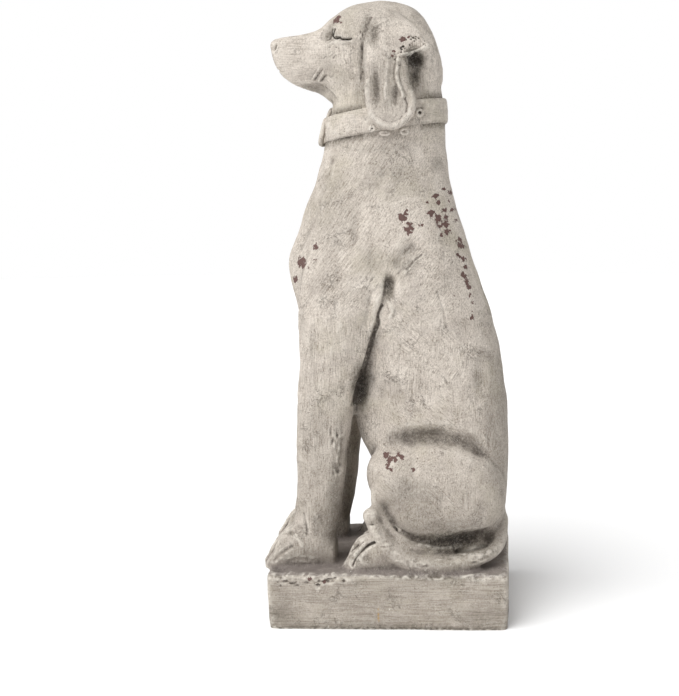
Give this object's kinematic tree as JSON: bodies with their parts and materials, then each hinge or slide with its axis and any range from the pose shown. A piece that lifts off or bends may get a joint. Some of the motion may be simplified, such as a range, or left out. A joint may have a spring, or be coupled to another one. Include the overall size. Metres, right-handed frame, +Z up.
{
  "type": "dog statue",
  "caption": "Seated dog with hanging ears, buckled collar and curled tail, cast in one piece with a low rectangular plinth.",
  "frame": {"origin": "centre of the plinth's underside, which is the face it stands on", "axes": "+Z up, -Y the way the dog faces, +X the dog's left side"},
  "size_m": [0.19, 0.271, 0.6659],
  "materials": {
    "cast_stone": "matt, weathered"
  },
  "bodies": {
    "root": {"dog_statue": "cast_stone"}
  },
  "joints": []
}
